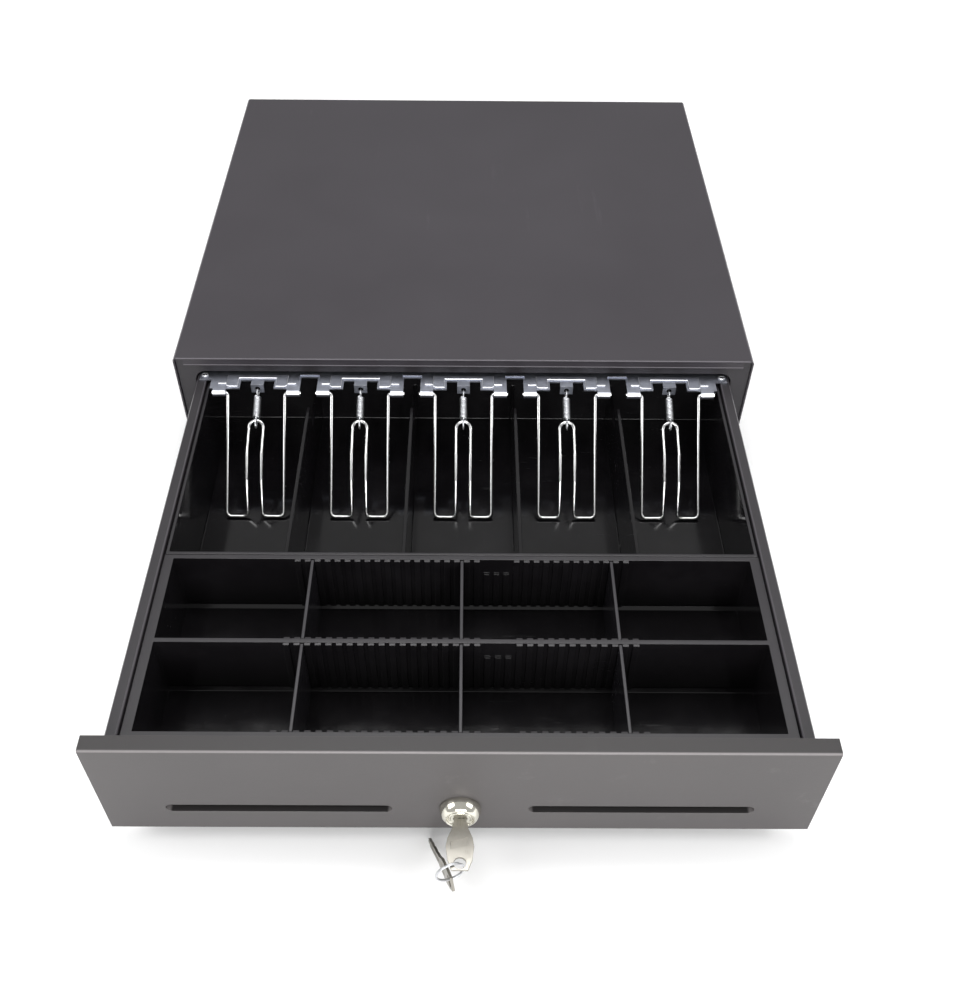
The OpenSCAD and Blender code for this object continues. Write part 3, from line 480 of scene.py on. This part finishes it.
bar = {"lift": 1.1 * mm, "sunk": 0.4 * mm, "edge": 0.6 * mm, "bay": 73 * mm, "barrelAt": 25.6 * mm,
       "valley": 8 * mm, "front": 3.2 * mm, "chamferIn": 1.5 * mm, "chamferBack": 1.2 * mm,
       "cut": 13.2 * mm, "cutBack": 12.6 * mm, "rear": 16.4 * mm}
between = {"lift": 0.99 * mm, "front": 10 * mm, "notch": 7 * mm, "notchBack": 16.6 * mm}
slotLip = {"lift": 0.9 * mm, "half": 3 * mm, "front": 6.4 * mm, "back": 8 * mm, "inwards": 1 * mm}
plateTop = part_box("clip_bar")[1][2]
hingeY = joints["bill_clip_turn_3"]["pos_m"][1]
barPiece = rounded("clip_bar", "clipBar", 0.22 * mm, standsFor=False)
bays = range(-2, 3)


def pad(middle, halfOutline, lift):
    # one side's outline, from the rear to the middle; the other side mirrors it
    both = [(-x, y) for x, y in halfOutline] + [(x, y) for x, y in reversed(halfOutline)]
    return slab("pad", [(middle + x, hingeY + y) for x, y in both], plateTop - bar["sunk"], plateTop + lift)


wide = bar["barrelAt"] - bar["valley"] / 2
acrossBay = [(wide, bar["rear"]), (wide, bar["front"] + bar["chamferBack"]),
             (wide - bar["chamferIn"], bar["front"]), (bar["cut"], bar["front"]),
             (bar["cut"], bar["cutBack"])]
pads = [pad(i * bar["bay"], acrossBay, bar["lift"]) for i in bays]
narrow = bar["bay"] / 2 - bar["barrelAt"] - bar["valley"] / 2
betweenBays = [(narrow, bar["rear"]), (narrow, between["front"]), (between["notch"], between["front"]),
               (between["notch"], between["notchBack"])]
pads += [pad((i - 0.5) * bar["bay"], betweenBays, between["lift"]) for i in bays[1:]]
lip = [(slotLip["half"], slotLip["back"]), (slotLip["half"], slotLip["front"])]
slotAt = bar["barrelAt"] - slotLip["inwards"]
pads += [pad(i * bar["bay"] + side * slotAt, lip, slotLip["lift"]) for i in bays for side in (-1, 1)]
for raised in pads:
    breakEdges(raised, bar["edge"], 3, 30)
join(barPiece, *pads)
finishPiece(barPiece, "clipBar", "clip_bar", flat=True)
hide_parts("clip_bar")
print("clip bar made")

# note clips and their springs

clip = {"wire": 1.15 * mm, "side": 20 * mm, "inner": 5.1 * mm, "length": 87 * mm, "loop": 19.5 * mm,
        "stub": 31.3 * mm, "hump": 6.5 * mm, "humpFrom": 25 * mm, "humpTop": 43 * mm, "humpEnd": 62 * mm,
        "stubBend": 2 * mm, "bend": 3.4 * mm, "easyBend": 2.5 * mm, "slightBend": 1.5 * mm,
        "fullLoop": 0.96}
spring = {"wire": 0.5 * mm, "coil": 2.25 * mm, "eye": 3 * mm, "hook": 2.65 * mm, "points": 14,
          "pitch": 2.02, "eyeLift": 1.3 * mm, "clear": 0.2 * mm, "aroundLoop": 5.1 * mm,
          "neck": 0.9 * mm, "tip": 1.1 * mm, "neckIn": 0.6, "tipIn": 0.75, "short": 0.8 * mm}
shortStep = math.radians(15)


def clipPath():
    # half of the wire, from its barrel to the middle of its rear loop; the other half mirrors it
    side, inner, hump, far = clip["side"], clip["inner"], clip["hump"], clip["length"]
    half = [((clip["stub"], 0, 0), 0), ((side, 0, 0), clip["stubBend"]), ((side, far, 0), clip["bend"]),
            ((inner, far, 0), clip["bend"]), ((inner, clip["humpEnd"], hump), clip["slightBend"]),
            ((inner, clip["humpTop"], hump), clip["easyBend"]),
            ((inner, clip["humpFrom"], 0), clip["stubBend"]),
            ((inner, clip["loop"], 0), inner * clip["fullLoop"])]
    other = [((-p[0], p[1], p[2]), r) for p, r in reversed(half)]
    return bentPath(half + other)


def springPath(reach):
    # an eye around the tab, close turns, and a long hook over the clip's loop
    coil, eye, hook, lift = spring["coil"], spring["eye"], spring["hook"], spring["eyeLift"]
    start, end = lift + eye, reach - spring["clear"]
    eyeTurn = [math.radians(-165) + shortStep * i for i in range(23)]
    pts = [(0, eye * math.sin(a), lift - eye * math.cos(a)) for a in eyeTurn]
    turns = int((end - start) / (spring["pitch"] * spring["wire"]))
    count = turns * spring["points"]
    for i in range(count + 1):
        a = math.tau * i / spring["points"] + math.pi / 2
        pts.append((coil * math.cos(a), coil * math.sin(a), start + (end - start) * i / count))
    far = reach + 2 * clip["wire"] + spring["aroundLoop"]
    pts += [(0, hook * spring["neckIn"], reach + spring["neck"]), (0, hook, reach + hook)]
    hookTurn = [shortStep * i for i in range(13)]
    pts += [(0, hook * math.cos(a), far - hook + hook * math.sin(a)) for a in hookTurn]
    pts += [(0, -hook, reach + hook), (0, -hook * spring["tipIn"], reach + spring["tip"])]
    return pts


for i in range(1, 6):
    node = f"bill_clip_{i}"
    hinge = Vector(joints[f"bill_clip_turn_{i}"]["pos_m"])
    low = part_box(node)[0][2]
    slope = math.asin((hinge.z - low - clip["wire"]) / clip["length"])
    down = Vector((0, -math.cos(slope), -math.sin(slope)))
    up = Vector((0, -math.sin(slope), math.cos(slope)))
    place = Matrix.Translation(hinge) @ Matrix((Vector((1, 0, 0)), down, up)).transposed().to_4x4()
    piece = wireAlong(f"noteClip{i}", clipPath(), clip["wire"], place, 4)
    finishPiece(piece, f"noteClip{i}", node)
    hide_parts(node)
    tab = Vector(joints[f"clip_spring_turn_{i}"]["pos_m"])
    loop = hinge + down * clip["loop"]
    pull = (loop - tab).normalized()
    side = Vector((1, 0, 0))
    place = Matrix.Translation(tab) @ Matrix((side, pull.cross(side), pull)).transposed().to_4x4()
    reach = (loop - tab).length - clip["wire"] - spring["short"]
    piece = wireAlong(f"clipSpring{i}", springPath(reach), spring["wire"], place, 2)
    finishPiece(piece, f"clipSpring{i}", f"clip_spring_{i}")
    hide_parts(f"clip_spring_{i}")
print("note clips and springs made")

# springs inside the case

def plainSpring(node, name, axis, coilRadius, wire, turns, points=18):
    # axis 1 runs from front to back; axis 2 stands against the rear of its room
    lo, hi = (Vector(c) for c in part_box(node))
    mid = (lo + hi) / 2
    length = hi[axis] - lo[axis] - 2 * wire
    count = turns * points
    pts = []
    for i in range(count + 1):
        a = math.tau * i / points
        x, across = mid.x + coilRadius * math.cos(a), coilRadius * math.sin(a)
        along = lo[axis] + wire + length * i / count
        if axis == 1:
            pts.append((x, along, mid.z + across))
        else:
            pts.append((x, hi.y - coilRadius - wire + across, along))
    piece = wireAlong(name, pts, wire, Matrix.Identity(4), 3)
    finishPiece(piece, name, node)
    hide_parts(node)


plainSpring("ejector_spring", "ejectorSpring", 1, 7 * mm, 1 * mm, 14)
plainSpring("hook_spring", "hookSpring", 2, 7.6 * mm, 0.6 * mm, 6)
print("inner springs made")

# lock and keys

# the collar's face, as radius and distance behind the lock's origin, in mm
lock = {"bore": 5.56, "barrel": 8.0, "seat": -6.4, "edge": 0.1 * mm, "plugEdge": 0.25 * mm,
        "face": [(5.56, -7.0), (6.0, -7.35), (6.5, -7.0), (6.8, -6.4), (7.3, -6.3), (7.6, -6.7),
                 (7.8, -7.4), (8.3, -7.7), (8.9, -7.5), (9.8, -6.6), (10.6, -5.2), (11.2, -3.6),
                 (11.6, -1.9), (11.7, -0.6), (11.5, -0.02), (8.0, -0.02)]}
lockAt = joints["lock_turn"]["pos_m"]
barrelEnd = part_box("lock_body")[1][1] - lockAt[1]
seat, bore = lock["seat"] * mm, lock["bore"] * mm
profile = ([(bore, seat)] + [(r * mm, d * mm) for r, d in lock["face"]]
           + [(lock["barrel"] * mm, barrelEnd), (bore, barrelEnd), (bore, seat)])
collar = turned("lockCollar", profile, lockAt, (0, 1, 0))
breakEdges(collar, lock["edge"], 2, 40)
finishPiece(collar, "lockCollar", "lock_body")
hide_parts("lock_body")
rounded("lock_plug", "lockPlug", lock["plugEdge"])


def cutBy(piece, cutter):
    applyModifier(piece, "BOOLEAN", operation="DIFFERENCE", object=cutter, solver="EXACT")
    bpy.data.objects.remove(cutter)


keyCut = {"pocket": [(-5, 8.4), (4.2, 10.8), (4.2, 15.2), (-5, 12.8)],
          "grooves": ((-1.2, 0.2, 1), (1.5, 2.3, 4)), "grooveEnd": 30, "floor": 0.5 * mm,
          "outside": 1.2 * mm, "edge": 0.16 * mm}
neckAt = {"key": 21, "spare_key": 18}


def keyPiece(node, name, place):
    # the bow has a plain slanted pocket on both faces, the blade two grooves on both faces
    obj = copyOf(node, name)
    neck = neckAt[node]
    outlines = [keyCut["pocket"]]
    for left, right, start in keyCut["grooves"]:
        near, far = neck + start, neck + keyCut["grooveEnd"]
        outlines.append([(left, near), (right, near), (right, far), (left, far)])
    for low, high in ((-keyCut["outside"], -keyCut["floor"]), (keyCut["floor"], keyCut["outside"])):
        for outline in outlines:
            cutter = slab("cutter", [(x * mm, y * mm) for x, y in outline], low, high)
            cutter.data.transform(place)
            cutBy(obj, cutter)
    breakEdges(obj, keyCut["edge"], 2, 35)
    finishPiece(obj, name, node, flat=True)
    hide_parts(node)


keyPiece("key", "key", Matrix.Translation(Vector(joints["key_ring_turn"]["pos_m"])))

ring = {"radius": 8 * mm, "wire": 0.55 * mm, "pitch": 0.45 * mm, "turns": 1.85, "points": 56, "start": 0.9}
hang = {"drop": 2.2 * mm, "endLift": 4 * mm, "length": 39.2 * mm}
ringBottom = Vector(joints["spare_key_swing"]["pos_m"])
swingAxis = joints["spare_key_swing"]["axis"]
turnAngle = math.atan2(swingAxis[1], swingAxis[0])
aside = Matrix.Rotation(turnAngle, 4, "Z")
upright = Matrix.Rotation(math.pi / 2, 4, "X")
onEdge = Matrix.Rotation(math.pi / 2, 4, "Y")
holeZ = ringBottom.z - hang["drop"]
tilt = math.asin((holeZ - hang["endLift"]) / hang["length"])
sparePlace = (Matrix.Translation((ringBottom.x, ringBottom.y, holeZ)) @ aside
              @ Matrix.Rotation(-tilt, 4, "X") @ onEdge)
keyPiece("spare_key", "spareKey", sparePlace)

ringPlace = Matrix.Translation(ringBottom + Vector((0, 0, ring["radius"]))) @ aside @ upright
steps = int(ring["turns"] * ring["points"])
ringPath = []
for i in range(steps + 1):
    t = i / steps
    a = math.tau * ring["turns"] * t + ring["start"]
    ringPath.append((ring["radius"] * math.cos(a), ring["radius"] * math.sin(a),
                     ring["pitch"] * (t - 0.5) * 2))
ringPiece = wireAlong("keyRing", ringPath, ring["wire"], ringPlace, 3)
finishPiece(ringPiece, "keyRing", "key_ring")
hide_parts("key_ring")
print("lock and keys made")

# floor, light and camera

stage = {"floor": 40, "below": 0.2 * mm, "sky": 0.55}
bpy.ops.mesh.primitive_plane_add(size=stage["floor"], location=(0, 0, -stage["below"]))
floor = bpy.context.object
floor.name = "floor"
paper = Finish("paleFloor", Roughness=0.9)
paper.colour(paper.mix(paper.noise(3, 2) * 0.3, rgb(0.9, 0.9, 0.9), rgb(0.93, 0.93, 0.93)))
floor.data.materials.append(paper.material)

world = bpy.data.worlds.new("studio")
bpy.context.scene.world = world
world.use_nodes = True
sky = world.node_tree.nodes["Background"]
sky.inputs["Color"].default_value = rgb(1, 1, 1)
sky.inputs["Strength"].default_value = stage["sky"]


def softbox(name, at, aim, size, power):
    data = bpy.data.lights.new(name, "AREA")
    data.shape = "RECTANGLE"
    data.size, data.size_y = size
    data.energy = power
    lamp = newObject(name, data)
    lamp.location = at
    lamp.rotation_euler = (Vector(aim) - Vector(at)).to_track_quat("-Z", "Y").to_euler()


softbox("overhead", (0.0, 0.35, 1.9), (0, 0, 0), (1.6, 0.9), 24)
softbox("leftFill", (-1.5, -0.5, 1.2), (0, -0.1, 0), (0.9, 1.2), 12)
softbox("rightFill", (1.5, -0.4, 1.2), (0, -0.1, 0), (0.9, 1.2), 9)
softbox("frontFill", (0.1, -1.8, 0.8), (0, -0.2, 0), (1.4, 0.6), 26)

# angles in radians, the place in mm, focal length and shift in thousandths of the frame's longer side
view = {"pitch": 0.858, "yaw": -0.008, "roll": 0.011, "at": (3.12, -643.8, 576.0),
        "focal": 1091.6, "shift": (-6.32, 92.5), "frame": 1000, "sensor": 36, "near": 0.01}
yaw = Matrix.Rotation(view["yaw"], 3, "Z")
forward = yaw @ Vector((0, math.cos(view["pitch"]), -math.sin(view["pitch"])))
above = yaw @ Vector((0, math.sin(view["pitch"]), math.cos(view["pitch"])))
right = yaw @ Vector((1, 0, 0))
cosRoll, sinRoll = math.cos(view["roll"]), math.sin(view["roll"])
right, above = cosRoll * right + sinRoll * above, -sinRoll * right + cosRoll * above
camera = newObject("camera", bpy.data.cameras.new("camera"))
camera.matrix_world = (Matrix.Translation(Vector(view["at"]) * mm)
                       @ Matrix((right, above, -forward)).transposed().to_4x4())
camera.data.sensor_width = view["sensor"]
camera.data.lens = view["focal"] * view["sensor"] / view["frame"]
camera.data.shift_x = -view["shift"][0] / view["frame"]
camera.data.shift_y = view["shift"][1] / view["frame"]
camera.data.clip_start = view["near"]
bpy.context.scene.camera = camera
bpy.context.scene.view_settings.view_transform = "Standard"
print("camera and lights set")
